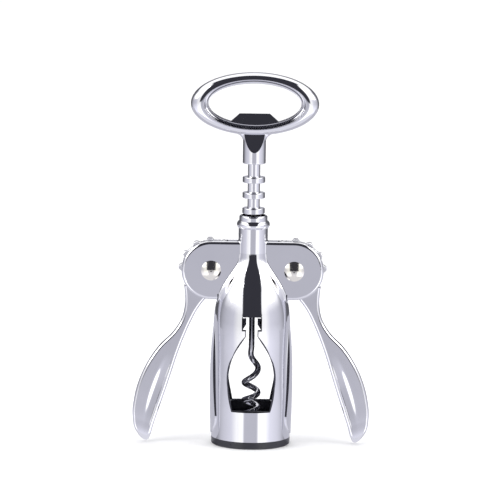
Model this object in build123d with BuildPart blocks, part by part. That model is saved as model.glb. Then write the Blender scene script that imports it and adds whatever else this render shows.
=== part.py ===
from build123d import *
from math import cos, degrees, exp, pi, radians, sin
import os

os.makedirs("parts", exist_ok=True)

# Millimetres. X runs from lever to lever, Y from front to back, Z up from the table.

# Fits
same_size = 0.01         # sizes closer than this count as equal
running_gap = 0.05       # radial gap of a turning fit
slide_gap = 0.35         # radial gap round what slides through the neck
end_gap = 0.1            # play of the sleeve along the shank
side_gap = 0.2           # gap beside the gears
slot_gap = 0.5           # gap from the gear tips to the wall of their slot
tooth_play = 1.18        # gap beside a tooth at the pitch line
tip_gap = 1.3            # gap from the gear tips to the rack's core
root_gap = 0.25          # gap from the gear's root to the collars

# Rack
rack_pitch = 7.5
collar_count = 9
collar_radius = 5.4
collar_height = 2.7
collar_edge = 0.35
core_radius = 2.95
top_collar_z = 128.1
bare_length = 6.45       # core that shows between the top collar and the ferrule
sleeve_end = 0.15        # core below the lowest collar

# Gears
gear_teeth = 13          # teeth that a full circle would hold
first_tooth = -1         # the teeth that are there, counted from the one in mesh
last_tooth = 6
mesh_depth = 1.02        # pitch line, inside the collars' rims
root_flare = 0.68        # half width that a tooth gains from pitch line to root
tip_taper = 0.47         # half width that it loses from pitch line to tip
gear_thickness = 4.0
pivot_z = 84.3

# Levers
lever_angle = 20.9       # from straight down, at rest
# along the lever, inner edge, outer edge, half thickness
lever_stations = [
    (11.0, -4.0, 9.8, 1.90),
    (15.5, -2.2, 7.4, 1.95),
    (20.0, -1.0, 5.6, 2.05),
    (27.0, -0.2, 4.4, 2.20),
    (35.0, 0.1, 5.8, 2.40),
    (43.5, 0.0, 9.5, 2.60),
    (52.0, -0.5, 11.6, 2.75),
    (62.0, -1.1, 12.4, 2.85),
    (71.0, -1.5, 11.6, 2.85),
    (80.0, -1.9, 9.0, 2.70),
    (86.0, -2.4, 5.2, 2.30),
    (89.2, -2.3, 1.0, 1.40),
]

# Bottle guide, sized by the bottle's lip
socket_radius = 15.2
socket_wall = 2.2
socket_depth = 9.0
guide_radius = 12.8
guide_height = 3.0
lining_wall = 1.2
foot_height = 3.5
foot_edge = 0.8

# Body
wall = 1.5
base_top_z = 18.0
belly_draw = 0.4         # belly and shoulder lie this far inside the base's radius
belly_z = 47.0
shoulder_draw = 3.9
shoulder_z = 75.5
flank_rise = 2.8         # flank's radius beyond the neck's
flank_z = 84.5
neck_wall = 0.55
neck_bore_lead = 7.5     # straight bore below the neck's foot
neck_foot_z = 93.0
neck_top_z = 108.3
bead_height = 3.6
bead_rise = 0.9
rim_show = 0.15          # gear rim that shows past the cheeks
cheek_wall = 1.6
cheek_edge = 1.4
crease_round = 0.8       # where the cheeks' faces run into the bottle
spine_rise = 0.85        # how far the side spines stand out of the body
spine_foot_rise = 0.5    # the same at their lower end
spine_sink = 1.7         # how deep they have sunk into it near their top
spine_low_z = 5.0
spine_sink_z = 66.0
spine_top_z = 73.0
spine_low_half = 9.5
spine_mid_half = 6.3

# Window, bottle shaped
window_foot_z = 17.9
window_foot_half = 9.3
window_belly_z = 32.5
window_belly_half = 11.4
window_shoulder_z = 44.8
window_shoulder_half = 9.1
window_neck_z = 55.0
window_neck_half = 3.1
window_lip_z = 57.4
window_lip_half = 4.8
window_top_z = 64.2

# Neck bush
bush_wall = 0.6
bush_foot_z = 97.0
bush_rim_width = 0.3     # rim outside the neck's bore
bush_rim_height = 2.6
bush_rim_edge = 0.8

# Handle
ferrule_radius = 5.5
ferrule_length = 13.6    # from its foot to the ring's underside
ring_half_width = 30.6
ring_half_height = 15.1
ring_depth = 9.4
ring_edge = 3.0
ring_overlap = 1.5       # ferrule inside the ring
band_side = 6.6          # ring's band at its sides, and above and below
band_top = 3.3
facet_point = 5.6        # facet's lowest point and top, above the ferrule's foot
facet_top = 14.1
facet_depth = 3.1
plate_depth = 2.2
plate_rim_wide = 1.9
plate_rim_high = 2.1
tooth_height = 5.0
tooth_top_half = 7.25
tooth_base_half = 12.0
tooth_root = 0.2         # tooth sunk into the plate's rim

# Worm and what holds it
wire_radius = 1.4
points_per_turn = 10
helix_radius = 3.25
helix_pitch = 6.5        # of the last turns
helix_stretch = 14.5     # extra length of the first turns, and how fast it fades, in turns
helix_fade = 0.546
helix_opening = 0.45     # turns over which the helix opens out
helix_turns = 3.0
helix_top_z = 47.5
tip_length = 3.5
tip_end_radius = 0.25
shank_depth = 10.1       # shank inside the ferrule
pin_radius = 1.0
pin_height = 4.6         # above the ferrule's foot
pin_recess = 0.2
washer_radius = 4.2
washer_thickness = 0.8
washer_recess = 1.4
retainer_radius = 2.7
retainer_height = 2.0

# Pivot pins
pin_shaft_radius = 3.0
pin_head_radius = 4.75
pin_head_rim = 0.4
pin_head_rise = 1.5
pin_tail_radius = 1.6
pin_tail_length = 1.2

# Sizes that follow
mesh_radius = collar_radius - mesh_depth
pitch_radius = gear_teeth * rack_pitch / (2 * pi)
pivot_x = pitch_radius + mesh_radius
root_radius = pivot_x - collar_radius - root_gap
tip_radius = pivot_x - core_radius - tip_gap
tooth_half = (rack_pitch - collar_height) / 2 - tooth_play
gap_over_pivot = (top_collar_z - rack_pitch / 2 - pivot_z) % rack_pitch
tooth_phase = degrees(gap_over_pivot / pitch_radius)
slot_radius = tip_radius + slot_gap
slot_half = gear_thickness / 2 + side_gap
cheek_radius = root_radius - rim_show
cheek_half = slot_half + cheek_wall
lining_radius = socket_radius + socket_wall
base_radius = lining_radius + wall
bush_bore = max(collar_radius, ferrule_radius) + slide_gap
neck_bore = bush_bore + bush_wall
neck_radius = neck_bore + neck_wall
bush_rim_radius = neck_bore + bush_rim_width
ferrule_foot_z = top_collar_z + collar_height / 2 + bare_length
ring_foot_z = ferrule_foot_z + ferrule_length
ring_z = ring_foot_z + ring_half_height
hole_half_width = ring_half_width - band_side
hole_half_height = ring_half_height - band_top
pin_z = ferrule_foot_z + pin_height
shank_top_z = ferrule_foot_z + shank_depth
sleeve_foot_z = top_collar_z - (collar_count - 1) * rack_pitch - collar_height / 2 - sleeve_end
sleeve_top_z = ferrule_foot_z + washer_recess - washer_thickness - end_gap


def finish(piece, name):
    piece.part.label = name
    export_step(piece.part, "parts/" + name + ".step")


def ring_section(inner, outer, low, high):
    """Half section of a ring round Z: a rectangle from radius inner to outer."""
    with BuildSketch() as section:
        with Locations((inner, low)):
            Rectangle(outer - inner, high - low, align=(Align.MIN, Align.MIN))
    return section.sketch_local


def dome(base_y, direction):
    """A shallow rivet head on the Y axis, bulging to the front (-1) or the back (+1)."""
    sphere_radius = (pin_head_radius ** 2 + pin_head_rise ** 2) / (2 * pin_head_rise)
    rim_y = base_y + direction * pin_head_rim
    with BuildPart() as head:
        pole_up = (-direction * 90, 0, 0)
        with Locations(Location((0, rim_y + direction * (pin_head_rise - sphere_radius), 0), pole_up)):
            Sphere(sphere_radius)
        with BuildSketch(Plane.XZ.offset(-base_y)):
            Circle(pin_head_radius)
        extrude(amount=-direction * (pin_head_rim + pin_head_rise), mode=Mode.INTERSECT)
    return head.part


# The raised bands down both sides, one band across the whole body
with BuildPart() as spine_band:
    with BuildSketch(Plane.XZ):
        with BuildLine():
            low_corner = (base_radius + spine_foot_rise, spine_low_z)
            high_corner = (base_radius - spine_sink, spine_sink_z)
            Polyline(
                high_corner, (high_corner[0], spine_top_z), (0, spine_top_z), (0, spine_low_z), low_corner,
            )
            Spline(
                low_corner, (base_radius + spine_rise, base_top_z),
                (base_radius - belly_draw + spine_rise, belly_z), high_corner,
            )
        make_face()
    revolve(axis=Axis.Z)
    with BuildSketch(Plane.YZ):
        with BuildLine():
            widest = (spine_low_half, spine_low_z + spine_low_half)
            Polyline(widest, (0, widest[1]), (0, spine_top_z), (cheek_half, spine_top_z))
            Spline((cheek_half, spine_top_z), (spine_mid_half, belly_z), widest)
        make_face()
        with BuildLine():
            Polyline((0, spine_low_z), (0, widest[1]), widest)
            CenterArc((0, widest[1]), spine_low_half, -90, 90)
        make_face()
        mirror(about=Plane.YZ)
    extrude(amount=2 * base_radius, both=True, mode=Mode.INTERSECT)

# Body: cheeks, bottle, spines, then everything that is cut from them
pivot_sides = [(-pivot_x, 0), (pivot_x, 0)]
pivot_plane = Plane(origin=(0, 0, pivot_z), x_dir=(1, 0, 0), z_dir=(0, -1, 0))

with BuildPart() as body_shell:
    with BuildSketch(pivot_plane):
        SlotCenterToCenter(2 * pivot_x, 2 * cheek_radius)
    extrude(amount=cheek_half, both=True)
    cheek_faces = body_shell.faces().filter_by(Axis.Y)
    fillet(cheek_faces.edges(), cheek_edge)
    with BuildSketch(Plane.XZ):
        with BuildLine():
            Polyline((0, foot_height), (base_radius, foot_height), (base_radius, base_top_z))
            Spline(
                (base_radius, base_top_z), (base_radius - belly_draw, belly_z),
                (base_radius - shoulder_draw, shoulder_z), (neck_radius + flank_rise, flank_z),
                (neck_radius, neck_foot_z), tangents=[(0, 1), (0, 1)],
            )
            Polyline(
                (neck_radius, neck_foot_z), (neck_radius, neck_top_z), (0, neck_top_z), (0, foot_height),
            )
        make_face()
    revolve(axis=Axis.Z)
    bottle_edges = body_shell.edges().filter_by(GeomType.BSPLINE)
    fillet([edge for edge in bottle_edges if edge.bounding_box().size.Y < same_size], crease_round)
    add(spine_band.part)
    with BuildSketch(Plane.XZ):
        with BuildLine():
            bead_foot = (neck_radius, neck_top_z - bead_height)
            bead_top = (neck_radius, neck_top_z)
            Polyline(bead_top, (neck_bore, neck_top_z), (neck_bore, bead_foot[1]), bead_foot)
            ThreePointArc(bead_foot, (neck_radius + bead_rise, neck_top_z - bead_height / 2), bead_top)
        make_face()
    revolve(axis=Axis.Z)
    # bell inside and neck bore
    with BuildSketch(Plane.XZ):
        with BuildLine():
            bore_foot = (neck_bore, neck_foot_z - neck_bore_lead)
            Polyline((0, foot_height), (lining_radius, foot_height), (lining_radius, base_top_z))
            Spline(
                (lining_radius, base_top_z), (lining_radius - belly_draw, belly_z),
                (lining_radius - shoulder_draw, shoulder_z - wall), bore_foot, tangents=[(0, 1), (0, 1)],
            )
            Polyline(bore_foot, (neck_bore, neck_top_z), (0, neck_top_z), (0, foot_height))
        make_face()
    revolve(axis=Axis.Z, mode=Mode.SUBTRACT)
    # slots for the gears, holes for the pins
    with BuildSketch(pivot_plane):
        with Locations(*pivot_sides):
            Circle(slot_radius)
    extrude(amount=slot_half, both=True, mode=Mode.SUBTRACT)
    with BuildSketch(pivot_plane):
        with Locations(*pivot_sides):
            Circle(pin_shaft_radius)
    extrude(amount=2 * cheek_half, both=True, mode=Mode.SUBTRACT)
    # the window, through front and back
    with BuildSketch(Plane.XZ):
        with BuildLine():
            Line((0, window_foot_z), (window_foot_half, window_foot_z))
            Spline(
                (window_foot_half, window_foot_z), (window_belly_half, window_belly_z),
                (window_shoulder_half, window_shoulder_z), (window_neck_half, window_neck_z),
            )
            Polyline(
                (window_neck_half, window_neck_z), (window_neck_half, window_lip_z),
                (window_lip_half, window_lip_z), (window_lip_half, window_top_z), (0, window_top_z),
            )
            Line((0, window_top_z), (0, window_foot_z))
        make_face()
        mirror(about=Plane.YZ)
    extrude(amount=2 * base_radius, both=True, mode=Mode.SUBTRACT)
finish(body_shell, "body_shell")

with BuildPart() as neck_bush:
    with BuildSketch(Plane.XZ):
        add(ring_section(bush_bore, neck_bore, bush_foot_z, neck_top_z))
        add(ring_section(bush_bore, bush_rim_radius, neck_top_z, neck_top_z + bush_rim_height))
    revolve(axis=Axis.Z)
    rim_edges = neck_bush.edges().filter_by(GeomType.CIRCLE).group_by(Axis.Z)[-1]
    fillet(rim_edges.sort_by(SortBy.RADIUS)[-1], bush_rim_edge)
finish(neck_bush, "neck_bush")

with BuildPart() as bottle_guide:
    with BuildSketch(Plane.XZ):
        guide_top_z = socket_depth + guide_height
        add(ring_section(socket_radius, base_radius, 0, foot_height))
        add(ring_section(socket_radius, lining_radius, foot_height, socket_depth))
        add(ring_section(guide_radius, lining_radius, socket_depth, guide_top_z))
        add(ring_section(lining_radius - lining_wall, lining_radius, guide_top_z, window_foot_z))
    revolve(axis=Axis.Z)
    foot_edges = bottle_guide.edges().filter_by(GeomType.CIRCLE).group_by(Axis.Z)[0]
    fillet(foot_edges.sort_by(SortBy.RADIUS)[-1], foot_edge)
    chamfer(foot_edges.sort_by(SortBy.RADIUS)[0], foot_edge)
finish(bottle_guide, "bottle_guide")


# Pivot pins, made on the Y axis and then moved out to their pivots
with BuildPart() as centre_pin:
    add(dome(-cheek_half, -1))
    with BuildSketch(Plane.XZ.offset(cheek_half)):
        Circle(pin_shaft_radius)
    extrude(amount=-2 * cheek_half)
    with BuildSketch(Plane.XZ.offset(-cheek_half)):
        Circle(pin_tail_radius)
    extrude(amount=-pin_tail_length)

with BuildPart() as centre_cap:
    add(dome(cheek_half, 1))
    with BuildSketch(Plane.XZ.offset(-cheek_half)):
        Circle(pin_tail_radius)
    extrude(amount=-pin_tail_length, mode=Mode.SUBTRACT)

for side_name, place in (("left", -pivot_x), ("right", pivot_x)):
    with BuildPart() as pivot_pin:
        with Locations((place, 0, pivot_z)):
            add(centre_pin.part)
    finish(pivot_pin, side_name + "_pivot_pin")
    with BuildPart() as pivot_cap:
        with Locations((place, 0, pivot_z)):
            add(centre_cap.part)
    finish(pivot_cap, side_name + "_pivot_cap")

with BuildPart() as rack_sleeve:
    with BuildSketch(Plane.XZ):
        bore = wire_radius + running_gap
        add(ring_section(bore, core_radius, sleeve_foot_z, sleeve_top_z))
        for index in range(collar_count):
            middle = top_collar_z - index * rack_pitch
            add(ring_section(bore, collar_radius, middle - collar_height / 2, middle + collar_height / 2))
    revolve(axis=Axis.Z)
    rims = rack_sleeve.edges().filter_by(GeomType.CIRCLE)
    fillet([edge for edge in rims if abs(edge.radius - collar_radius) < same_size], collar_edge)
finish(rack_sleeve, "rack_sleeve")


# One lever, made on the left side: gear head, then the arm and wing as one loft
lever_turn = radians(lever_angle)
arm_axis = (-sin(lever_turn), 0, -cos(lever_turn))
left_pivot = (-pivot_x, 0, pivot_z)
gear_plane = Plane(origin=left_pivot, x_dir=(1, 0, 0), z_dir=(0, -1, 0))
arm_plane = Plane(origin=left_pivot, x_dir=arm_axis, z_dir=(0, 1, 0))

root_half = tooth_half + root_flare
tip_half = tooth_half - tip_taper

with BuildPart() as left_lever:
    with BuildSketch(gear_plane):
        Circle(root_radius)
        for index in range(first_tooth, last_tooth + 1):
            with PolarLocations(0, 1, start_angle=tooth_phase + index * 360 / gear_teeth):
                Polygon(
                    (pin_shaft_radius, -root_half), (root_radius, -root_half), (tip_radius, -tip_half),
                    (tip_radius, tip_half), (root_radius, root_half), (pin_shaft_radius, root_half),
                    align=None,
                )
    extrude(amount=gear_thickness / 2, both=True)
    for along, inner, outer, half in lever_stations:
        station = Plane(
            origin=arm_plane.from_local_coords((along, (inner + outer) / 2, 0)),
            x_dir=arm_plane.y_dir, z_dir=arm_axis,
        )
        with BuildSketch(station):
            Ellipse((outer - inner) / 2, half)
    loft()
    with BuildSketch(gear_plane):
        Circle(pin_shaft_radius + running_gap)
    extrude(amount=gear_thickness, both=True, mode=Mode.SUBTRACT)
finish(left_lever, "left_lever")

with BuildPart() as right_lever:
    mirror(left_lever.part, about=Plane.YZ)
finish(right_lever, "right_lever")

# Handle: the ferrule with its facets, then the oval ring, the washer's recess and two holes
ferrule_top_z = ring_foot_z + ring_overlap
facet_foot_z = ferrule_foot_z + facet_point
facet_top_z = ferrule_foot_z + facet_top
with BuildPart() as ferrule:
    with BuildSketch(Plane.XY.offset(ferrule_foot_z)):
        Circle(ferrule_radius)
    extrude(amount=ferrule_top_z - ferrule_foot_z)
    facet_y = ferrule_radius - facet_depth
    with BuildSketch(Plane.YZ):
        Polygon(
            (ferrule_radius, facet_foot_z), (facet_y, facet_top_z), (facet_y, ferrule_top_z),
            (2 * ferrule_radius, ferrule_top_z), (2 * ferrule_radius, facet_foot_z), align=None,
        )
        mirror(about=Plane.YZ)
    extrude(amount=ferrule_radius, both=True, mode=Mode.SUBTRACT)

with BuildPart() as handle_ring:
    with BuildSketch(Plane.XZ):
        with Locations((0, ring_z)):
            Ellipse(ring_half_width, ring_half_height)
            Ellipse(hole_half_width, hole_half_height, mode=Mode.SUBTRACT)
    extrude(amount=ring_depth / 2, both=True)
    outer_edges = handle_ring.edges().sort_by(SortBy.LENGTH)[-2:]
    fillet(outer_edges, ring_edge)
    add(ferrule.part)
    with BuildSketch(Plane.XY.offset(ferrule_foot_z)):
        Circle(washer_radius + running_gap)
    extrude(amount=washer_recess, mode=Mode.SUBTRACT)
    with BuildSketch(Plane.XY.offset(ferrule_foot_z)):
        Circle(wire_radius)
    extrude(amount=shank_top_z - ferrule_foot_z, mode=Mode.SUBTRACT)
    with BuildSketch(Plane.YZ):
        with Locations((0, pin_z)):
            Circle(pin_radius)
    extrude(amount=2 * ferrule_radius, both=True, mode=Mode.SUBTRACT)
finish(handle_ring, "handle_ring")

with BuildPart() as handle_pin:
    with BuildSketch(Plane.YZ):
        with Locations((0, pin_z)):
            Circle(pin_radius)
    extrude(amount=ferrule_radius - pin_recess, both=True)
finish(handle_pin, "handle_pin")

# Opener: a plate that lines the ring, with one tooth at the bottom of its opening
with BuildPart() as opener_plate:
    with BuildSketch(Plane.XZ):
        with Locations((0, ring_z)):
            Ellipse(hole_half_width, hole_half_height)
            Ellipse(hole_half_width - plate_rim_wide, hole_half_height - plate_rim_high, mode=Mode.SUBTRACT)
        opening_foot_z = ring_z - hole_half_height + plate_rim_high
        with BuildLine():
            Polyline(
                (-tooth_base_half, opening_foot_z - tooth_root),
                (tooth_base_half, opening_foot_z - tooth_root),
                (tooth_top_half, opening_foot_z + tooth_height),
                (-tooth_top_half, opening_foot_z + tooth_height), close=True,
            )
        make_face()
        with Locations((0, ring_z)):
            Ellipse(hole_half_width, hole_half_height, mode=Mode.INTERSECT)
    extrude(amount=plate_depth / 2, both=True)
finish(opener_plate, "opener_plate")

with BuildPart() as thrust_washer:
    with BuildSketch(Plane.XY.offset(ferrule_foot_z + washer_recess)):
        Circle(washer_radius)
        Circle(wire_radius + running_gap, mode=Mode.SUBTRACT)
    extrude(amount=-washer_thickness)
finish(thrust_washer, "thrust_washer")

with BuildPart() as retainer_ring:
    with BuildSketch(Plane.XY.offset(sleeve_foot_z - end_gap)):
        Circle(retainer_radius)
        Circle(wire_radius, mode=Mode.SUBTRACT)
    extrude(amount=-retainer_height)
finish(retainer_ring, "retainer_ring")

# Worm: straight shank, then a right-hand helix, stretched at first, that ends in a point
point_count = round(helix_turns * points_per_turn)
lead_in = [(0, 0, helix_top_z + step * helix_pitch / points_per_turn) for step in (9, 6, 3)]
helix_line = []
for index in range(point_count + 1):
    turns = index * helix_turns / point_count
    opening = min(turns / helix_opening, 1.0)
    reach = helix_radius * opening ** 2 * (3 - 2 * opening)
    angle = 2 * pi * (helix_opening - turns)
    drop = helix_pitch * turns + helix_stretch * (1 - exp(-turns / helix_fade))
    helix_line.append((reach * cos(angle), reach * sin(angle), helix_top_z - drop))

with BuildPart() as worm:
    with BuildLine() as wire_path:
        Line((0, 0, shank_top_z), lead_in[0])
        Spline(*lead_in, *helix_line)
    with BuildSketch(Plane.XY.offset(shank_top_z)):
        Circle(wire_radius)
    sweep(path=wire_path.wires()[0])
    wire_end = wire_path.edges().sort_by(Axis.Z)[0]
    tip_plane = Plane(origin=wire_end @ 1, z_dir=wire_end % 1)
    with BuildSketch(tip_plane):
        Circle(wire_radius)
    with BuildSketch(tip_plane.offset(tip_length)):
        Circle(tip_end_radius)
    loft()
    with BuildSketch(Plane.YZ):
        with Locations((0, pin_z)):
            Circle(pin_radius)
    extrude(amount=2 * wire_radius, both=True, mode=Mode.SUBTRACT)
finish(worm, "worm")
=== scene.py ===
import math

import bmesh
import bpy
import numpy as np
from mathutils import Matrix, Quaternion, Vector


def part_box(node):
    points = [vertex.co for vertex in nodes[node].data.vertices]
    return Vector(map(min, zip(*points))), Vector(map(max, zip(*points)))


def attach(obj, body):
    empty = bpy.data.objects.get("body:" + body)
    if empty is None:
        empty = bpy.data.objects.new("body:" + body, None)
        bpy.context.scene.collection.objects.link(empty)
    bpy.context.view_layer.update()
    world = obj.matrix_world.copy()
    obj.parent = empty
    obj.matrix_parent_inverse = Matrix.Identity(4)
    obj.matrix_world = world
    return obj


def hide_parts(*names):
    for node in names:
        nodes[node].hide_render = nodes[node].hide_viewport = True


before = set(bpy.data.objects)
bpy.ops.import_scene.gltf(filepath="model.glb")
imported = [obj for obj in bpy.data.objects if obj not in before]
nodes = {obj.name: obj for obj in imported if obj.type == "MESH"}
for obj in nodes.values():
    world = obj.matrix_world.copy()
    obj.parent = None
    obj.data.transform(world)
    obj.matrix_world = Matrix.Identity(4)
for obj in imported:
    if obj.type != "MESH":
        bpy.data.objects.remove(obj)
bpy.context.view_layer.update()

scene = bpy.context.scene
mm = 0.001
mergeGap = 0.002 * mm
scene.view_settings.view_transform = "Standard"
scene.view_settings.look = "None"
print("frame loaded:", len(nodes), "nodes")


def startMaterial(name, baseColor, metallic, roughness):
    mat = bpy.data.materials.new(name)
    mat.use_nodes = True
    shader = mat.node_tree.nodes["Principled BSDF"]
    shader.inputs["Base Color"].default_value = (*baseColor, 1)
    shader.inputs["Metallic"].default_value = metallic
    shader.inputs["Roughness"].default_value = roughness
    return mat, mat.node_tree, shader


def objectNoise(tree, scale, detail, stretch=(1, 1, 1)):
    # noise on object coordinates, stretched by the three factors
    coords = tree.nodes.new("ShaderNodeTexCoord")
    mapping = tree.nodes.new("ShaderNodeMapping")
    mapping.inputs["Scale"].default_value = stretch
    noise = tree.nodes.new("ShaderNodeTexNoise")
    noise.inputs["Scale"].default_value = scale
    noise.inputs["Detail"].default_value = detail
    tree.links.new(coords.outputs["Object"], mapping.inputs["Vector"])
    tree.links.new(mapping.outputs["Vector"], noise.inputs["Vector"])
    return noise.outputs["Fac"]


def spread(tree, factor, low, high):
    # the middle of a noise, 0.3 to 0.7, taken to low..high
    ramp = tree.nodes.new("ShaderNodeMapRange")
    ramp.inputs["From Min"].default_value = 0.3
    ramp.inputs["From Max"].default_value = 0.7
    ramp.inputs["To Min"].default_value = low
    ramp.inputs["To Max"].default_value = high
    tree.links.new(factor, ramp.inputs["Value"])
    return ramp.outputs["Result"]


def tintBetween(tree, factor, first, second):
    mix = tree.nodes.new("ShaderNodeMix")
    mix.data_type = "RGBA"
    mix.inputs["A"].default_value = (*first, 1)
    mix.inputs["B"].default_value = (*second, 1)
    tree.links.new(factor, mix.inputs["Factor"])
    return mix.outputs["Result"]


def bumpFrom(tree, height, strength, distance, under=None):
    bump = tree.nodes.new("ShaderNodeBump")
    bump.inputs["Strength"].default_value = strength
    bump.inputs["Distance"].default_value = distance
    tree.links.new(height, bump.inputs["Height"])
    if under is not None:
        tree.links.new(under, bump.inputs["Normal"])
    return bump.outputs["Normal"]


def metalMaterial(name, look):
    # plated or bare metal: a cloudy film in the colour, uneven gloss, slow ripple and fine rub marks
    mat, tree, shader = startMaterial(name, look["bright"], 1, look["gloss"][0])
    film = objectNoise(tree, look["filmScale"], 3)
    tree.links.new(tintBetween(tree, film, look["bright"], look["dull"]), shader.inputs["Base Color"])
    rubs = objectNoise(tree, look["rubScale"], 4, look["rubStretch"])
    tree.links.new(spread(tree, rubs, *look["gloss"]), shader.inputs["Roughness"])
    slow = bumpFrom(tree, objectNoise(tree, look["rippleScale"], 2), look["ripple"], look["rippleHigh"])
    tree.links.new(bumpFrom(tree, rubs, look["rub"], look["rubHigh"], slow), shader.inputs["Normal"])
    return mat


chromeLook = {
    "bright": (0.83, 0.83, 0.865), "dull": (0.73, 0.73, 0.77), "gloss": (0.03, 0.075), "filmScale": 34,
    "ripple": 0.03, "rippleScale": 120, "rippleHigh": 0.0004,
    "rub": 0.03, "rubScale": 320, "rubHigh": 0.00005, "rubStretch": (1, 1, 0.35),
}
bodyChrome = metalMaterial("bodyChrome", chromeLook)
leverChrome = metalMaterial("leverChrome", {**chromeLook, "gloss": (0.05, 0.10), "rubStretch": (1, 1, 0.25)})
gearCast = metalMaterial("gearCast", {
    **chromeLook, "bright": (0.93, 0.93, 0.95), "dull": (0.86, 0.86, 0.89), "gloss": (0.34, 0.46),
    "rub": 0.1, "rubScale": 900, "rubStretch": (1, 1, 1),
})
# near-black finish for the strip round the window opening: painted shade, the rim's dark outline painted on
# instead of mirrored
paintedEdgeShade = metalMaterial("paintedEdgeShade", {
    **chromeLook, "bright": (0.10, 0.10, 0.12), "dull": (0.06, 0.06, 0.075), "gloss": (0.35, 0.5),
    "rub": 0.1, "rubScale": 900, "rubStretch": (1, 1, 1),
})
handleChrome = metalMaterial("handleChrome", {**chromeLook, "rubStretch": (0.3, 1, 1)})
rackChrome = metalMaterial("rackChrome", {**chromeLook, "rubStretch": (0.4, 0.4, 3)})
pinNickel = metalMaterial("pinNickel", {
    **chromeLook, "bright": (0.86, 0.84, 0.79), "dull": (0.78, 0.75, 0.69), "gloss": (0.10, 0.18),
    "rub": 0.06, "rubScale": 900, "rubStretch": (1, 1, 1),
})
wormSteel = metalMaterial("wormSteel", {
    **chromeLook, "bright": (0.56, 0.56, 0.60), "dull": (0.42, 0.42, 0.46), "gloss": (0.05, 0.11),
    "rub": 0.08, "rubScale": 700, "rubStretch": (1, 1, 0.3),
})
plateSteel = metalMaterial("plateSteel", {
    **chromeLook, "bright": (0.76, 0.76, 0.79), "dull": (0.68, 0.68, 0.72), "gloss": (0.07, 0.13),
    "rub": 0.05, "rubScale": 600, "rubStretch": (0.2, 1, 1),
})


def plasticMaterial(name, look):
    # moulded plastic: faint colour clouds, uneven gloss and a fine grain
    mat, tree, shader = startMaterial(name, look["color"], 0, look["gloss"][0])
    clouds = objectNoise(tree, look["cloudScale"], 4)
    tree.links.new(tintBetween(tree, clouds, look["color"], look["pale"]), shader.inputs["Base Color"])
    wear = objectNoise(tree, look["wearScale"], 3)
    tree.links.new(spread(tree, wear, *look["gloss"]), shader.inputs["Roughness"])
    grain = objectNoise(tree, look["grainScale"], 2)
    tree.links.new(bumpFrom(tree, grain, look["grain"], look["grainHigh"]), shader.inputs["Normal"])
    return mat


plasticLook = {"cloudScale": 90, "wearScale": 400, "grainScale": 1800, "grain": 0.15, "grainHigh": 0.0001}
blackPlastic = plasticMaterial("blackPlastic", {
    **plasticLook, "color": (0.015, 0.015, 0.021), "pale": (0.028, 0.028, 0.038), "gloss": (0.26, 0.38),
})
washerPlastic = plasticMaterial("washerPlastic", {
    **plasticLook, "color": (0.70, 0.69, 0.65), "pale": (0.76, 0.75, 0.72), "gloss": (0.4, 0.5),
})

finishes = {
    "body_shell": bodyChrome, "neck_bush": rackChrome, "bottle_guide": blackPlastic,
    "left_pivot_pin": pinNickel, "left_pivot_cap": pinNickel,
    "right_pivot_pin": pinNickel, "right_pivot_cap": pinNickel,
    "rack_sleeve": rackChrome, "handle_ring": handleChrome, "opener_plate": plateSteel,
    "worm": wormSteel, "handle_pin": pinNickel, "thrust_washer": washerPlastic,
    "retainer_ring": pinNickel, "left_lever": leverChrome, "right_lever": leverChrome,
}
for name, mat in finishes.items():
    slots = nodes[name].data.materials
    slots.clear()
    slots.append(mat)
print("materials made")


def gridFaces(shape, closedU, closedV):
    # quads between neighbouring points of a grid; a closed direction joins its last line to its first
    index = np.arange(shape[0] * shape[1]).reshape(shape[:2])
    if closedU:
        index = np.vstack([index, index[:1]])
    if closedV:
        index = np.hstack([index, index[:, :1]])
    return np.stack([index[:-1, :-1], index[1:, :-1], index[1:, 1:], index[:-1, 1:]], -1).reshape(-1, 4)


def surfaceMesh(name, grids, crease=28):
    # grids: (points of shape (rows, columns, 3) in millimetres, closedU, closedV); doubles and poles
    # are merged
    points, faces, count = [], [], 0
    for grid, closedU, closedV in grids:
        faces.append(gridFaces(grid.shape, closedU, closedV) + count)
        points.append(grid.reshape(-1, 3) * mm)
        count += len(points[-1])
    mesh = bpy.data.meshes.new(name)
    mesh.from_pydata(np.vstack(points).tolist(), [], np.vstack(faces).tolist())
    work = bmesh.new()
    work.from_mesh(mesh)
    bmesh.ops.remove_doubles(work, verts=work.verts, dist=mergeGap)
    bmesh.ops.recalc_face_normals(work, faces=work.faces)
    work.to_mesh(mesh)
    work.free()
    mesh.shade_smooth()
    mesh.set_sharp_from_angle(angle=math.radians(crease))
    mesh.update()
    return mesh


def addPiece(name, mesh, material, body=None, node=None):
    piece = bpy.data.objects.new(name, mesh)
    scene.collection.objects.link(piece)
    mesh.materials.append(material)
    if body:
        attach(piece, body)
    if node:
        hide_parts(node)
    return piece


def nodeSpan(name):
    # lowest corner, highest corner and middle of a CAD node, in millimetres
    low, high = (np.array(corner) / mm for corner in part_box(name))
    return low, high, (low + high) / 2


def heldProfile(profile, gap=0.04):
    # a closed profile with two more points on each side, near its ends, so that its shading stays straight
    start = np.array(profile, float)
    side = np.roll(start, -1, axis=0) - start
    share = np.minimum(gap / np.maximum(np.linalg.norm(side, axis=1), gap), 1 / 3)[:, None]
    return np.stack([start, start + side * share, start + side * (1 - share)], 1).reshape(-1, 2)


def latheGrid(profile, steps=96):
    # a closed profile of (radius, height) points carried once round Z
    profile = heldProfile(profile)
    turn = np.linspace(0, 2 * np.pi, steps, endpoint=False)[:, None]
    radius, height = profile.T
    return np.stack([radius * np.cos(turn), radius * np.sin(turn), height + 0 * turn], -1), True, True


def quarterArc(centre, radius, start, steps=6):
    # points of a quarter circle, counter-clockwise from the start angle in degrees
    angle = np.radians(start + np.linspace(0, 90, steps))
    return np.stack([centre[0] + radius * np.cos(angle), centre[1] + radius * np.sin(angle)], -1)


def smoothStep(value):
    value = np.clip(value, 0, 1)
    return value * value * (3 - 2 * value)


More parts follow.
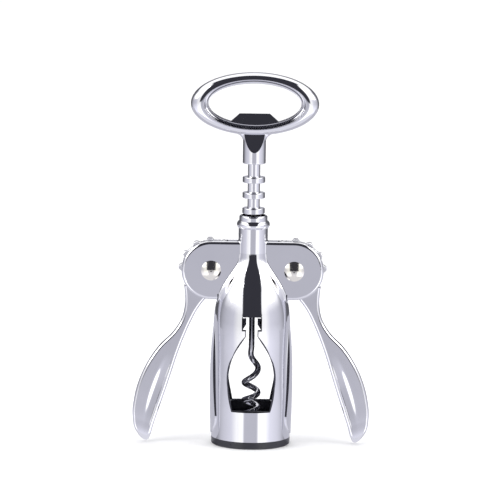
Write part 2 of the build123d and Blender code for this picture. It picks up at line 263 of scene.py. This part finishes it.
def smoothThrough(at, places, values):
    # cubic between stations, each slope taken from the two neighbours
    slopes = np.gradient(values, places)
    i = np.clip(np.searchsorted(places, at, side="right") - 1, 0, len(places) - 2)
    span = places[i + 1] - places[i]
    t = (at - places[i]) / span
    return (
        (1 + 2 * t) * (1 - t) ** 2 * values[i] + t * (1 - t) ** 2 * span * slopes[i]
        + t * t * (3 - 2 * t) * values[i + 1] + t * t * (t - 1) * span * slopes[i + 1]
    )


ringLow, ringHigh, _ = nodeSpan("handle_ring")
_, plateHigh, plateMiddle = nodeSpan("opener_plate")
ring = {
    "halfWide": ringHigh[0], "halfHigh": ringHigh[2] - plateMiddle[2], "centre": plateMiddle[2],
    "holeHalfWide": plateHigh[0], "holeHalfHigh": plateHigh[2] - plateMiddle[2],
    "halfDepth": 4.7, "crest": 0.93, "innerPower": 4, "around": 240, "section": 72,
}


def makeHandleRing(r):
    # round the oval: a point slides from the outer ellipse to the inner one. Across the band: half an
    # ellipse from the outer edge up to the crest, then a squarer quarter down to the hole
    t = np.linspace(0, 2 * np.pi, r["around"], endpoint=False)[:, None]
    s = np.linspace(0, 2 * np.pi, r["section"], endpoint=False)[None, :]
    c, d = np.cos(s), np.sin(s)
    power = 2 / r["innerPower"]
    across = np.where(c > 0, r["crest"] * (1 - c), r["crest"] + (1 - r["crest"]) * np.abs(c) ** power)
    depth = np.where(c > 0, np.abs(d), np.abs(d) ** power) * np.sign(d) * -r["halfDepth"]
    wide = r["halfWide"] + (r["holeHalfWide"] - r["halfWide"]) * across
    high = r["halfHigh"] + (r["holeHalfHigh"] - r["halfHigh"]) * across
    points = np.stack([wide * np.cos(t), depth + 0 * t, r["centre"] + high * np.sin(t)], -1)
    return addPiece(
        "handleRing", surfaceMesh("handleRing", [(points, True, True)], 40), handleChrome,
        "spindle", "handle_ring",
    )


ferrule = {
    "foot": ringLow[2], "radius": ringHigh[1], "edge": 0.5, "recessRadius": 4.25, "recess": 1.4,
    "facetFoot": 5.6, "facetTop": 14.1, "facetDepth": 3.1, "top": 15.6,
    "flareFoot": 10.6, "flareHigh": 3.9, "flareWide": 4.9, "side": 41, "chord": 9, "rows": 56,
}


def makeFerrule(f):
    # rows up the ferrule: a circle whose front and back are cut by two sloping planes, so each row is
    # two side arcs and two chords; near the ring the side arcs swell outwards along a quarter ellipse
    radius = f["radius"]
    edge = quarterArc((radius - f["edge"], f["edge"]), f["edge"], 270, 7)
    up = np.linspace(f["edge"], f["top"], f["rows"] + 1)[1:]
    height = np.concatenate([[f["recess"]] * 2, [0], edge[:, 1], up, [f["top"]]])
    reach = np.concatenate([[0], [f["recessRadius"]] * 2, edge[:, 0], radius + 0 * up, [0]]) / radius
    cut = (height - f["facetFoot"]) / (f["facetTop"] - f["facetFoot"])
    flat = np.where(height > f["recess"] + 0.1, radius - f["facetDepth"] * np.clip(cut, 0, 1), radius)
    rise = np.clip((height - f["flareFoot"]) / f["flareHigh"], 0, 1)
    flare = f["flareWide"] * (1 - np.sqrt(1 - rise ** 2)) * (reach > 0)
    height, reach, flat, flare = (a[:, None] for a in (height, reach, flat, flare))
    limit = np.arcsin(np.clip(flat / radius, 0, 1))
    q = np.linspace(-1, 1, f["side"])[None, :]
    swell = 1 - (np.sin(limit * q) / np.sin(limit)) ** 2
    arcX = radius * np.cos(limit * q) + flare * swell
    arcY = radius * np.sin(limit * q)
    p = np.linspace(-1, 1, f["chord"] + 2)[None, 1:-1]
    chordX = radius * np.cos(limit) * p
    x = np.hstack([arcX, -chordX, -arcX, chordX]) * reach
    y = np.hstack([arcY, flat + 0 * chordX, -arcY, -flat + 0 * chordX]) * reach
    points = np.stack([x, y, f["foot"] + height + 0 * x], -1)
    return addPiece(
        "handleFerrule", surfaceMesh("handleFerrule", [(points, False, True)], 14), handleChrome,
        "spindle", "handle_ring",
    )


plate = {
    "rimWide": 1.9, "rimHigh": 2.1, "halfThick": 1.1, "rimEdge": 0.6, "crownPower": 0.35, "lean": 0.5,
    "around": 200, "section": 24,
    "toothHigh": 5.0, "toothTop": 7.25, "toothBase": 12.0, "rootSink": 0.9, "lipThick": 0.15, "columns": 33,
}


def makePlate(p, r):
    # rim: between the hole's ellipse and the opening's, its two faces crowned as a flattened half sine and
    # leaning outwards, most at the bottom. Tooth: a trapezoid standing on the opening's ellipse, a wedge
    # that thins towards its straight top edge
    t = np.linspace(0, 2 * np.pi, p["around"], endpoint=False)[:, None]
    across = np.linspace(0, 1, p["section"])
    crown = p["rimEdge"] + (p["halfThick"] - p["rimEdge"]) * np.sin(np.pi * across) ** p["crownPower"]
    lean = p["lean"] * np.clip(1 - np.sin(t), 0, 1) * (across - 0.5)
    loop = np.concatenate([across, across[::-1]])[None, :]
    depth = np.hstack([-crown - lean, (crown + lean)[:, ::-1]])
    x = (r["holeHalfWide"] - p["rimWide"] * loop) * np.cos(t)
    z = (r["holeHalfHigh"] - p["rimHigh"] * loop) * np.sin(t) + r["centre"]
    rim = np.stack([x, depth, z], -1)
    u = np.linspace(-1, 1, p["columns"])
    u = np.concatenate([[-1], u, [1]])[:, None]
    solid = np.ones_like(u)
    solid[[0, -1]] = 0
    up = np.linspace(0, 1, 9)
    rise = np.concatenate([up, up[::-1]])[None, :]
    front = np.concatenate([-np.ones_like(up), np.ones_like(up)])[None, :]
    x = u * (p["toothBase"] + (p["toothTop"] - p["toothBase"]) * rise)
    wide, high = r["holeHalfWide"] - p["rimWide"], r["holeHalfHigh"] - p["rimHigh"]
    floorHigh = -high * np.sqrt(1 - (u * p["toothBase"] / wide) ** 2) - p["rootSink"]
    topHigh = -high + p["toothHigh"]
    z = r["centre"] + floorHigh + (topHigh - floorHigh) * rise
    y = front * solid * (p["halfThick"] + (p["lipThick"] - p["halfThick"]) * rise)
    tooth = np.stack([x, y, z], -1)
    mesh = surfaceMesh("openerPlate", [(rim, True, True), (tooth, False, True)], 35)
    return addPiece("openerPlate", mesh, plateSteel, "spindle", "opener_plate")


makeHandleRing(ring)
makePlate(plate, ring)
makeFerrule(ferrule)
print("handle made")


_, _, pinMiddle = nodeSpan("left_pivot_pin")
gear = {
    "pivotX": pinMiddle[0], "pivotZ": pinMiddle[2], "bore": 3.05, "halfThick": 2.0, "edge": 0.35,
    "root": 14.248, "tip": 15.648, "rootHalf": 1.90, "tipHalf": 0.75, "teeth": 13, "first": -1, "last": 6,
    "phase": 9.42, "flankSteps": 6, "gapSteps": 8,
}
lever = {
    "angle": 20.9, "edge": 1.45, "edgeShare": 0.96, "tipRound": 1.3,
    "rows": 150, "edgeSteps": 10, "faceSteps": 33, "sideSteps": 5,
    # along the lever, inner edge, outer edge, half thickness
    "stations": [
        (11, -4, 9.8, 1.9), (15.5, -2.2, 7.4, 1.95), (20, -1, 5.6, 2.05), (27, -0.2, 4.4, 2.2),
        (35, 0.1, 5.8, 2.4), (43.5, 0, 9.5, 2.6), (52, -0.5, 11.6, 2.75), (62, -1.1, 12.4, 2.85),
        (71, -1.5, 11.6, 2.85), (80, -1.9, 9, 2.7), (86, -2.4, 5.2, 2.3), (89.2, -2.3, 1.0, 1.4),
    ],
    # the dish along the lever, and across it from the outer edge at -1 to the inner edge at 1
    "dishFrom": 45, "dishMost": 62, "dishTo": 88, "dishDeep": 0.62,
    "stepFrom": -0.12, "stepTo": 0.36, "rimFrom": 0.84,
}


def gearOutline(g):
    # polar outline of a full wheel: each tooth is a flank, a tip, a flank and a gap; where a tooth is
    # missing the radius stays at the root
    flank = np.linspace(0, 1, g["flankSteps"])
    half = g["rootHalf"] + (g["tipHalf"] - g["rootHalf"]) * flank
    radius = g["root"] + (g["tip"] - g["root"]) * flank
    offset = np.arcsin(half / radius)
    pitch = 2 * np.pi / g["teeth"]
    gap = np.linspace(offset[0], pitch - offset[0], g["gapSteps"])[1:-1]
    angles = np.concatenate([-offset, [0], offset[::-1], gap])
    radii = np.concatenate([radius, [g["tip"]], radius[::-1], g["root"] + 0 * gap])
    tooth = np.arange(g["teeth"])[:, None] + g["first"]
    angle = np.radians(g["phase"]) + tooth * pitch + angles
    radius = np.where(tooth <= g["last"], radii, g["root"])
    return angle.ravel(), radius.ravel()


def gearGrid(g):
    # the outline stacked through the thickness with bevelled rims, closed through the bore
    angle, outline = gearOutline(g)
    t, e = g["halfThick"], g["edge"]
    depth = np.array([-t, -t, -t + e, t - e, t, t])[:, None]
    bore = g["bore"] + 0 * outline
    radius = np.stack([bore, outline - e, outline, outline, outline - e, bore])
    x = g["pivotX"] + radius * np.cos(angle)
    z = g["pivotZ"] + radius * np.sin(angle)
    return np.stack([x, depth + 0 * x, z], -1), True, True


def armGrid(a, g):
    # rows along the lever: a rounded box between the stations' edges, closed by a round tip where the
    # rows shrink along a circle. Both faces are sunk on the inner side of the wing: a smooth step across
    # it and back up at the rim, times a smooth rise and fall along it
    along, inner, outer, half = np.array(a["stations"], float).T
    end = along[-1]
    at = end - (end - along[0]) * (1 - np.sin(np.linspace(0, np.pi / 2, a["rows"])))
    middle = smoothThrough(at, along, (inner + outer) / 2)[:, None]
    shrink = np.sqrt(np.clip(1 - ((at - end) / a["tipRound"] + 1).clip(0, 1) ** 2, 0, 1))
    shrink[0] = 0
    wide = (smoothThrough(at, along, (outer - inner) / 2) * shrink)[:, None]
    thick = (smoothThrough(at, along, half) * shrink)[:, None]
    corner = np.minimum(a["edge"], a["edgeShare"] * np.minimum(wide, thick))
    quarter = np.radians(np.linspace(0, 90, a["edgeSteps"]))
    face = np.linspace(1, -1, a["faceSteps"])[1:-1]
    side = np.linspace(-1, 1, a["sideSteps"])[1:-1]
    # corner signs and arc directions, from the front right round to the right side
    kx = np.concatenate([1 + 0 * quarter, face, -1 - 0 * quarter, -1 - 0 * side,
                         -1 - 0 * quarter, -face, 1 + 0 * quarter, 1 + 0 * side])
    ky = np.concatenate([-1 - 0 * quarter, -1 - 0 * face, -1 - 0 * quarter, side,
                         1 + 0 * quarter, 1 + 0 * face, 1 + 0 * quarter, -side])
    cx = np.concatenate([np.cos(quarter), 0 * face, -np.sin(quarter), -1 - 0 * side,
                         -np.cos(quarter), 0 * face, np.sin(quarter), 1 + 0 * side])
    cy = np.concatenate([-np.sin(quarter), -1 - 0 * face, -np.cos(quarter), 0 * side,
                         np.sin(quarter), 1 + 0 * face, np.cos(quarter), 0 * side])
    across = kx * (wide - corner) + corner * cx
    length = smoothStep((at - a["dishFrom"]) / (a["dishMost"] - a["dishFrom"]))
    length = (length * smoothStep((a["dishTo"] - at) / (a["dishTo"] - a["dishMost"])))[:, None]
    bowl = smoothStep((-kx - a["stepFrom"]) / (a["stepTo"] - a["stepFrom"]))
    bowl = bowl * (1 - smoothStep((-kx - a["rimFrom"]) / (1 - a["rimFrom"]))) * (cx == 0)
    depth = ky * (thick - corner) + corner * cy - np.sign(cy) * a["dishDeep"] * length * bowl
    turn = math.radians(a["angle"])
    u = at[:, None] + 0 * across
    v = middle + across
    x = g["pivotX"] - math.sin(turn) * u - math.cos(turn) * v
    z = g["pivotZ"] - math.cos(turn) * u + math.sin(turn) * v
    return np.stack([x, depth, z], -1), False, True


def makeLever(side):
    # the left lever as drawn, or its mirror image across X
    flip = np.array([1.0 if side == "left" else -1.0, 1, 1])
    for name, (points, *closed), material in (
        (side + "Gear", gearGrid(gear), gearCast), (side + "Wing", armGrid(lever, gear), leverChrome),
    ):
        mesh = surfaceMesh(name, [(points * flip, *closed)])
        addPiece(name, mesh, material, side + "_wing", side + "_lever")


makeLever("left")
makeLever("right")
print("levers made")


sleeveLow, sleeveHigh, _ = nodeSpan("rack_sleeve")
rack = {
    "bore": 1.45, "core": 2.95, "collar": sleeveHigh[0], "collarHigh": 2.7, "edge": 0.35, "root": 0.25,
    "pitch": 7.5, "topCollar": 128.1, "collars": 9, "foot": sleeveLow[2], "top": sleeveHigh[2],
}


def makeRack(r):
    # down the sleeve: core, then for each collar a small hollow at its root, a round rim and a hollow again
    half = r["collarHigh"] / 2
    rim = r["collar"] - r["edge"]
    upperRim = quarterArc((rim, half - r["edge"]), r["edge"], 0)[::-1]
    lowerRim = upperRim[::-1] * (1, -1)
    hollow = quarterArc((r["core"] + r["root"], half + r["root"]), r["root"], 180, 4)
    collar = np.vstack([hollow, upperRim, lowerRim, hollow[::-1] * (1, -1)])
    lowest = hollow[::-1] * (1, -1)
    places = r["topCollar"] - r["pitch"] * np.arange(r["collars"])
    outer = (collar[None] + np.stack([0 * places, places], -1)[:, None]).reshape(-1, 2)
    outer = outer[:-len(lowest)]
    profile = np.vstack([
        [(r["core"], r["top"])], outer,
        [(r["core"], outer[-1, 1]), (r["core"], r["foot"]), (r["bore"], r["foot"]), (r["bore"], r["top"])],
    ])
    return addPiece(
        "rackSleeve", surfaceMesh("rackSleeve", [latheGrid(profile)], 34), rackChrome,
        "rack", "rack_sleeve",
    )


bushLow, bushHigh, _ = nodeSpan("neck_bush")
bush = {
    "bore": 5.85, "skirt": 6.45, "rim": bushHigh[0], "edge": 0.8,
    "foot": bushLow[2], "seat": 108.3, "top": bushHigh[2],
}


def makeBush(b):
    # a thin skirt inside the neck with a round-edged rim on top of it
    profile = np.vstack([
        [(b["bore"], b["foot"]), (b["skirt"], b["foot"]), (b["skirt"], b["seat"]), (b["rim"], b["seat"])],
        quarterArc((b["rim"] - b["edge"], b["top"] - b["edge"]), b["edge"], 0, 9), [(b["bore"], b["top"])],
    ])
    return addPiece(
        "neckBush", surfaceMesh("neckBush", [latheGrid(profile)], 34), rackChrome,
        "housing", "neck_bush",
    )


worm = {
    "wire": 1.4, "top": 146.0, "helixTop": 47.5, "reach": 3.25, "pitch": 6.5, "stretch": 14.5, "fade": 0.546,
    "opening": 0.45, "turns": 3.0, "tip": 3.5, "tipEnd": 0.25, "rows": 420, "around": 28,
}


def makeWorm(w):
    # a wire along a line that runs straight down the axis and then winds right-handed: its reach opens
    # over the first part of a turn, its fall per turn fades to the pitch, and it tapers to a point
    straight = np.linspace(w["top"] - w["helixTop"], 0, 26)[:-1]
    turns = np.linspace(0, w["turns"], w["rows"])
    opening = smoothStep(turns / w["opening"]) * w["reach"]
    angle = 2 * np.pi * (w["opening"] - turns)
    fall = w["pitch"] * turns + w["stretch"] * (1 - np.exp(-turns / w["fade"]))
    centre = np.vstack([
        np.stack([0 * straight, 0 * straight, w["helixTop"] + straight], -1),
        np.stack([opening * np.cos(angle), opening * np.sin(angle), w["helixTop"] - fall], -1),
    ])
    angle = np.concatenate([angle[0] + 0 * straight, angle])
    last = centre[-1] - centre[-2]
    last /= np.linalg.norm(last)
    point = np.linspace(0, 1, 12)[1:]
    centre = np.vstack([centre, centre[-1] + w["tip"] * point[:, None] * last])
    angle = np.concatenate([angle, angle[-1] + 0 * point])
    thick = np.full(len(centre), w["wire"])
    thick[-len(point):] = w["wire"] + (w["tipEnd"] - w["wire"]) * point
    tangent = np.gradient(centre, axis=0)
    tangent /= np.linalg.norm(tangent, axis=1)[:, None]
    outward = np.stack([np.cos(angle), np.sin(angle), 0 * angle], -1)
    outward -= (outward * tangent).sum(1)[:, None] * tangent
    outward /= np.linalg.norm(outward, axis=1)[:, None]
    beside = np.cross(tangent, outward)
    centre = np.vstack([centre[:1], centre, centre[-1:]])
    outward, beside = (np.vstack([a[:1], a, a[-1:]]) for a in (outward, beside))
    thick = np.concatenate([[0], thick, [0]])
    around = np.linspace(0, 2 * np.pi, w["around"], endpoint=False)[None, :, None]
    ring = np.cos(around) * outward[:, None] + np.sin(around) * beside[:, None]
    points = centre[:, None] + thick[:, None, None] * ring
    return addPiece(
        "wormWire", surfaceMesh("wormWire", [(points, False, True)], 50), wormSteel,
        "spindle", "worm",
    )


makeRack(rack)
makeBush(bush)
makeWorm(worm)
print("rack, bush and worm made")


# the window opening's outline, and a dark strip of painted shade that follows it
windowShadeStrip = {
    # height and half width of the bottle-shaped opening, up one side
    "side": [(17.9, 9.3), (32.5, 11.4), (44.8, 9.1), (55, 3.1)],
    "neck": [(57.4, 3.1), (57.4, 4.8), (64.2, 4.8)],
    # height and radius of the bell's outside
    "bell": [(5, 18.9), (18, 18.9), (47, 18.5), (75.5, 15.0)],
    "show": 0.38, "bury": 0.5, "sink": 0.03, "buriedSink": 0.3, "deep": 1.3, "mitre": 1.2, "steps": 90,
}


def makeWindowShadeStrip(w, face):
    # a dark strip of painted shade round the opening, in place of the dark outline its rim shows: it follows
    # the opening's outline, a smooth curve through the side's points and then straight lines, and lies in the
    # bell's wall, y = sqrt(radius ** 2 - x ** 2). It shows a little in the opening and is buried on the other
    # side
    sideZ, sideX = np.array(w["side"], float).T
    z = np.linspace(sideZ[0], sideZ[-1], w["steps"])
    curve = np.stack([smoothThrough(z, sideZ, sideX), z], -1)
    right = np.vstack([curve, np.array(w["neck"], float)[:, ::-1]])
    line = np.vstack([right, right[::-1] * (-1, 1)])
    along = np.roll(line, -1, axis=0) - line
    length = np.linalg.norm(along, axis=1)[:, None]
    inward = np.stack([-along[:, 1], along[:, 0]], -1) / length
    corner = inward + np.roll(inward, 1, axis=0)
    corner = corner * 2 / np.maximum((corner ** 2).sum(1), w["mitre"])[:, None]
    bellZ, bellR = np.array(w["bell"], float).T
    section = [
        (w["show"], w["sink"]), (w["show"], w["deep"]),
        (-w["bury"], w["deep"]), (-w["bury"], w["buriedSink"]),
    ]
    loops = []
    for shift, depth in section:
        spot = line + corner * shift
        radius = smoothThrough(spot[:, 1], bellZ, bellR) - depth
        loops.append(np.stack([spot[:, 0], face * np.sqrt(radius ** 2 - spot[:, 0] ** 2), spot[:, 1]], -1))
    name = "windowShadeStripFront" if face < 0 else "windowShadeStripBack"
    mesh = surfaceMesh(name, [(np.array(loops), True, True)])
    return addPiece(name, mesh, paintedEdgeShade, "housing", None)


makeWindowShadeStrip(windowShadeStrip, -1)
makeWindowShadeStrip(windowShadeStrip, 1)
print("window edges made")


studio = {
    "distance": 2.4, "elevation": 9.05, "roll": 0.81, "aim": (-0.00142, 0, 0.0939),
    "sensor": 36, "lens": 360.5, "clipEnd": 50,
    "floorReach": 6000, "floorColor": (0.93, 0.93, 0.935), "floorPale": (0.95, 0.95, 0.955), "floorScale": 25,
    # half width, depth and height of the sheet that the metal mirrors behind the object
    "mirrored": (420, 460, 0.2), "mirroredGlow": (0.60, 0.60, 0.67),
    "sunPower": 1.1, "sunSpread": 100,
    "softboxes": [("leftSoftbox", (-1.3, -0.6, 1.0), 10), ("rightSoftbox", (1.3, -0.5, 1.0), 8)],
    "softboxAim": (0, 0, 0.09), "softboxSize": (0.8, 1.0),
}


def makeCamera(s):
    cam = bpy.data.objects.new("camera", bpy.data.cameras.new("camera"))
    scene.collection.objects.link(cam)
    tilt = math.radians(s["elevation"])
    back = Vector((0, -math.cos(tilt), math.sin(tilt)))
    cam.location = Vector(s["aim"]) + back * s["distance"]
    cam.rotation_mode = "QUATERNION"
    roll = Quaternion((0, 0, 1), math.radians(s["roll"]))
    cam.rotation_quaternion = (-back).to_track_quat("-Z", "Y") @ roll
    cam.data.sensor_width = s["sensor"]
    cam.data.lens = s["lens"]
    cam.data.clip_end = s["clipEnd"]
    scene.camera = cam


def makeFloor(s):
    # a flat square sheet at z = 0, which the metal doesn't mirror
    u, v = np.meshgrid(np.linspace(-1, 1, 9), np.linspace(-1, 1, 9), indexing="ij")
    points = np.stack([u, v, 0 * u], -1) * s["floorReach"]
    mat, tree, shader = startMaterial("paleFloor", s["floorColor"], 0, 0.6)
    tint = tintBetween(tree, objectNoise(tree, s["floorScale"], 4), s["floorColor"], s["floorPale"])
    tree.links.new(tint, shader.inputs["Base Color"])
    shader.inputs["Specular IOR Level"].default_value = 0.1
    mesh = surfaceMesh("floor", [(points, False, False)])
    if mesh.polygons[0].normal.z < 0:
        mesh.flip_normals()
    floor = addPiece("floor", mesh, mat)
    floor.visible_glossy = False
    # an evenly glowing sheet behind the object, a hair above the floor, that only the metal mirrors
    half, depth, lift = s["mirrored"]
    points = np.stack([u * half, (v + 1) * depth / 2, 0 * u + lift], -1)
    mesh = surfaceMesh("floorBehind", [(points, False, False)])
    far, _, farShader = startMaterial("farFloor", (0, 0, 0), 0, 1)
    farShader.inputs["Specular IOR Level"].default_value = 0
    farShader.inputs["Emission Color"].default_value = (*s["mirroredGlow"], 1)
    farShader.inputs["Emission Strength"].default_value = 1
    behind = addPiece("floorBehind", mesh, far)
    behind.visible_camera = False
    behind.visible_diffuse = False
    behind.visible_shadow = False


room = {
    "strength": 1.4,
    # colour round the horizon: degrees from straight in front, brightness
    "round": [
        (0, 0.455), (18, 0.455), (24, 1.0), (42, 1.0), (58, 0.74), (85, 0.62), (98, 0.52), (112, 0.34),
        (127, 0.13), (168, 0.10), (180, 0.4),
    ],
    "tint": (0.955, 0.955, 1.06), "frontLow": -3.5, "frontHigh": 95, "frontSoft": 1.5,
    "frontHalf": 0.5, "frontHalfSoft": 0.03,
    "dark": (0.03, 0.03, 0.0375),
    # two heights, or two places along X, on the unit sphere and the brightness at each
    "shade": (-0.56, -0.07, 1.55, 0.84), "leftShade": (-0.6, -0.35, 0.86, 1),
    # the sides turn white between two heights, and only in front of two places along Y
    "sideTop": (0.07, 0.38, -0.35, -0.05), "topFrom": 0.5, "topTo": 0.66, "below": (0.62, 0.62, 0.67),
}


def makeWorld(r):
    # a white room: lilac straight in front, white beside that, then greyer towards the back, and white
    # overhead; in front, from the horizon up over the top, one dark opening
    world = bpy.data.worlds.new("studioRoom")
    scene.world = world
    world.use_nodes = True
    tree = world.node_tree
    coords = tree.nodes.new("ShaderNodeTexCoord")
    split = tree.nodes.new("ShaderNodeSeparateXYZ")
    tree.links.new(coords.outputs["Generated"], split.inputs["Vector"])
    x, y, z = split.outputs

    def calc(kind, *values):
        node = tree.nodes.new("ShaderNodeMath")
        node.operation = kind
        for socket, value in zip(node.inputs, values):
            if isinstance(value, (int, float)):
                socket.default_value = value
            else:
                tree.links.new(value, socket)
        return node.outputs["Value"]

    def fade(value, low, high):
        # 0 below low, 1 above high
        node = tree.nodes.new("ShaderNodeMapRange")
        node.interpolation_type = "SMOOTHSTEP"
        node.inputs["From Min"].default_value = low
        node.inputs["From Max"].default_value = high
        tree.links.new(value, node.inputs["Value"])
        return node.outputs["Result"]

    def blend(factor, first, second):
        node = tree.nodes.new("ShaderNodeMix")
        node.data_type = "RGBA"
        for socket, value in ((node.inputs["A"], first), (node.inputs["B"], second)):
            if isinstance(value, tuple):
                socket.default_value = (*value, 1)
            else:
                tree.links.new(value, socket)
        tree.links.new(factor, node.inputs["Factor"])
        return node.outputs["Result"]

    toDegrees = 180 / math.pi
    frontward = calc("MULTIPLY", y, -1)
    sideways = calc("ABSOLUTE", x)
    bearing = calc("MULTIPLY", calc("ARCTAN2", sideways, frontward), toDegrees)
    rise = calc("MULTIPLY", calc("ARCTAN2", z, frontward), toDegrees)
    walls = tree.nodes.new("ShaderNodeValToRGB")
    stops = walls.color_ramp.elements
    while len(stops) < len(r["round"]):
        stops.new(0.5)
    for stop, (angle, bright) in zip(stops, r["round"]):
        tint = r["tint"] if bright < 1 else (1, 1, 1)
        stop.position = angle / 180
        stop.color = (*(bright * part for part in tint), 1)
    tree.links.new(calc("DIVIDE", bearing, 180), walls.inputs["Fac"])
    # the walls are brighter well below the horizon, and a little darker on the left
    shades = []
    for value, limits in ((z, r["shade"]), (x, r["leftShade"])):
        shade = tree.nodes.new("ShaderNodeMapRange")
        for socket, limit in zip(("From Min", "From Max", "To Min", "To Max"), limits):
            shade.inputs[socket].default_value = limit
        tree.links.new(value, shade.inputs["Value"])
        shades.append(shade.outputs["Result"])
    shaded = tree.nodes.new("ShaderNodeVectorMath")
    shaded.operation = "SCALE"
    tree.links.new(walls.outputs["Color"], shaded.inputs["Vector"])
    tree.links.new(calc("MULTIPLY", *shades), shaded.inputs["Scale"])
    lowHigh, backFront = r["sideTop"][:2], r["sideTop"][2:]
    upper = calc("MULTIPLY", fade(z, *lowHigh), fade(frontward, *backFront))
    upper = calc("MAXIMUM", upper, fade(z, r["topFrom"], r["topTo"]))
    ceiling = blend(upper, shaded.outputs["Vector"], (1.0, 1.0, 1.0))
    ceiling = blend(fade(calc("MULTIPLY", z, -1), r["topFrom"], r["topTo"]), ceiling, r["below"])
    soft = r["frontSoft"]
    low = fade(rise, r["frontLow"] - soft, r["frontLow"] + soft)
    high = calc("SUBTRACT", 1, fade(rise, r["frontHigh"] - soft, r["frontHigh"] + soft))
    half, halfSoft = r["frontHalf"], r["frontHalfSoft"]
    inside = calc("SUBTRACT", 1, fade(sideways, half - halfSoft, half + halfSoft))
    opening = calc("MULTIPLY", calc("MULTIPLY", low, high), inside)
    seenByMetal = blend(opening, ceiling, r["dark"])
    path = tree.nodes.new("ShaderNodeLightPath")
    white = 1 / r["strength"]
    seen = blend(path.outputs["Is Camera Ray"], seenByMetal, (white, white, white))
    background = tree.nodes["Background"]
    tree.links.new(seen, background.inputs["Color"])
    background.inputs["Strength"].default_value = r["strength"]


def makeSky(s):
    # one very soft light from overhead, for the floor's even white
    light = bpy.data.lights.new("overhead", "SUN")
    light.energy = s["sunPower"]
    light.angle = math.radians(s["sunSpread"])
    lamp = bpy.data.objects.new("overhead", light)
    scene.collection.objects.link(lamp)
    lamp.visible_glossy = False


def makeSoftboxes(s):
    # two rectangular lights, one on each side, turned to the object
    for name, place, power in s["softboxes"]:
        light = bpy.data.lights.new(name, "AREA")
        light.shape = "RECTANGLE"
        light.size, light.size_y = s["softboxSize"]
        light.energy = power
        lamp = bpy.data.objects.new(name, light)
        scene.collection.objects.link(lamp)
        lamp.location = place
        lamp.rotation_mode = "QUATERNION"
        lamp.rotation_quaternion = (Vector(s["softboxAim"]) - Vector(place)).to_track_quat("-Z", "Y")
        lamp.visible_camera = False


makeCamera(studio)
makeFloor(studio)
makeWorld(room)
makeSky(studio)
makeSoftboxes(studio)
print("studio made")
